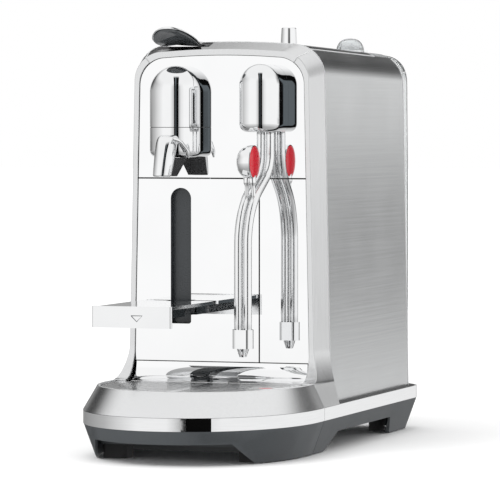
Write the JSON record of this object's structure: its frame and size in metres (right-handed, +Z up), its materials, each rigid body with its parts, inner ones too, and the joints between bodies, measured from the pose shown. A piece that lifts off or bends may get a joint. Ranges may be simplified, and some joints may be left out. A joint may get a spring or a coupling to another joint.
{
  "type": "pod coffee machine",
  "caption": "Capsule coffee machine with polished front, coffee head, fold-up cup support, twin-tube steam wand, lift lever, sliding drip tray and rear water tank.",
  "frame": {"origin": "centre of the bounding box at the level the machine stands on", "axes": "+X to the machine's right side as seen from its front, +Y to its rear, +Z up"},
  "size_m": [0.17, 0.393, 0.309],
  "materials": {
    "mirror_steel": "mirror polish",
    "chrome": "polished",
    "brushed_steel": "brushed",
    "satin_steel": "satin",
    "dark_grey_plastic": "fine texture",
    "black_plastic": "satin",
    "gloss_black": "gloss",
    "red_gloss": "gloss",
    "clear_plastic": "clear",
    "grey_plastic": "satin",
    "rubber": "matt",
    "aluminium": "cast",
    "circuit_board": "satin"
  },
  "bodies": {
    "root": {"base_shell": "dark_grey_plastic", "foot_pads": "rubber", "base_band": "chrome", "deck": "black_plastic", "tank_plinth": "brushed_steel", "power_inlet": "black_plastic", "bezel_top": "satin_steel", "bezel_left": "satin_steel", "bezel_right": "satin_steel", "side_panel_left": "brushed_steel", "side_panel_right": "brushed_steel", "top_cover": "brushed_steel", "upper_panel": "mirror_steel", "lower_panel_right": "mirror_steel", "bulkhead": "black_plastic", "coffee_head_cap": "chrome", "coffee_outlet": "chrome", "coffee_spout": "chrome", "spout_back": "black_plastic", "wand_head": "chrome", "lever_housing": "black_plastic", "display_lens": "gloss_black", "control_board": "circuit_board", "brew_frame": "aluminium", "pierce_plate": "chrome", "pump": "black_plastic", "brew_heater": "aluminium", "steam_heater": "aluminium", "steam_valve": "aluminium", "main_board": "circuit_board"},
    "lever": {"lever_handle": "chrome", "lever_insert": "gloss_black"},
    "capsule_carriage": {"capsule_cage": "black_plastic"},
    "tray_unit": {"tray_skirt": "dark_grey_plastic", "tray_band": "chrome", "indicator_window": "gloss_black", "tray_ring": "satin_steel", "tray_basin": "grey_plastic", "tray_cove": "mirror_steel", "tray_carrier": "black_plastic", "lower_panel_left": "mirror_steel", "support_recess": "black_plastic", "capsule_container": "black_plastic"},
    "drip_grid": {"drip_grid": "satin_steel"},
    "tray_float": {"tray_float": "red_gloss"},
    "cup_support": {"support_plate": "chrome", "support_arm": "black_plastic"},
    "steam_wand": {"wand_barrel": "chrome", "steam_tube_left": "chrome", "steam_tube_right": "chrome", "steam_nozzle": "chrome", "grip_cup": "chrome", "grip_disc": "red_gloss"},
    "dial": {"dial": "chrome"},
    "milk_button": {"milk_button": "chrome"},
    "start_button": {"start_button": "chrome"},
    "power_button": {"power_button": "chrome"},
    "water_tank": {"water_tank": "clear_plastic", "tank_valve": "grey_plastic"},
    "tank_lid": {"tank_lid": "clear_plastic"}
  },
  "joints": [
    {"name": "lever_lift", "type": "hinge", "parent": "root", "child": "lever", "pos_m": [-0.0325, 0.034, 0.2918], "axis": [-1, 0, 0], "range_deg": [0, 80]},
    {"name": "capsule_feed", "type": "slide", "parent": "root", "child": "capsule_carriage", "axis": [0, 1, 0], "range_m": [0, 0.022]},
    {"name": "tray_slide", "type": "slide", "parent": "root", "child": "tray_unit", "axis": [0, -1, 0], "range_m": [0, 0.15]},
    {"name": "grid_lift", "type": "slide", "parent": "tray_unit", "child": "drip_grid", "axis": [0, 0, 1], "range_m": [0, 0.016]},
    {"name": "float_rise", "type": "slide", "parent": "tray_unit", "child": "tray_float", "axis": [0, 0, 1], "range_m": [0, 0.008]},
    {"name": "support_fold", "type": "hinge", "parent": "tray_unit", "child": "cup_support", "pos_m": [-0.0315, -0.0582, 0.104], "axis": [-1, 0, 0], "range_deg": [0, 90]},
    {"name": "wand_swing", "type": "hinge", "parent": "root", "child": "steam_wand", "pos_m": [0.037, -0.0647, 0.235], "axis": [-1, 0, 0], "range_deg": [0, 35]},
    {"name": "dial_turn", "type": "hinge", "parent": "root", "child": "dial", "pos_m": [0.037, -0.007, 0.3], "axis": [0, 0, 1], "continuous": true},
    {"name": "milk_press", "type": "slide", "parent": "root", "child": "milk_button", "axis": [0, 0, -1], "range_m": [0, 0.001], "stiffness_N_per_m": 600, "springref_m": -0.001},
    {"name": "start_press", "type": "slide", "parent": "root", "child": "start_button", "axis": [0, 0, -1], "range_m": [0, 0.001], "stiffness_N_per_m": 600, "springref_m": -0.001},
    {"name": "power_press", "type": "slide", "parent": "root", "child": "power_button", "axis": [0, 0, -1], "range_m": [0, 0.001], "stiffness_N_per_m": 600, "springref_m": -0.001},
    {"name": "tank_lift", "type": "slide", "parent": "root", "child": "water_tank", "axis": [0, 0, 1], "range_m": [0, 0.26]},
    {"name": "lid_open", "type": "hinge", "parent": "water_tank", "child": "tank_lid", "pos_m": [0, 0.1968, 0.279], "axis": [-1, 0, 0], "range_deg": [0, 90]}
  ],
  "couplings": [
    {"joint": "capsule_feed", "follows": "lever_lift", "m_per_rad": 0.015613}
  ]
}
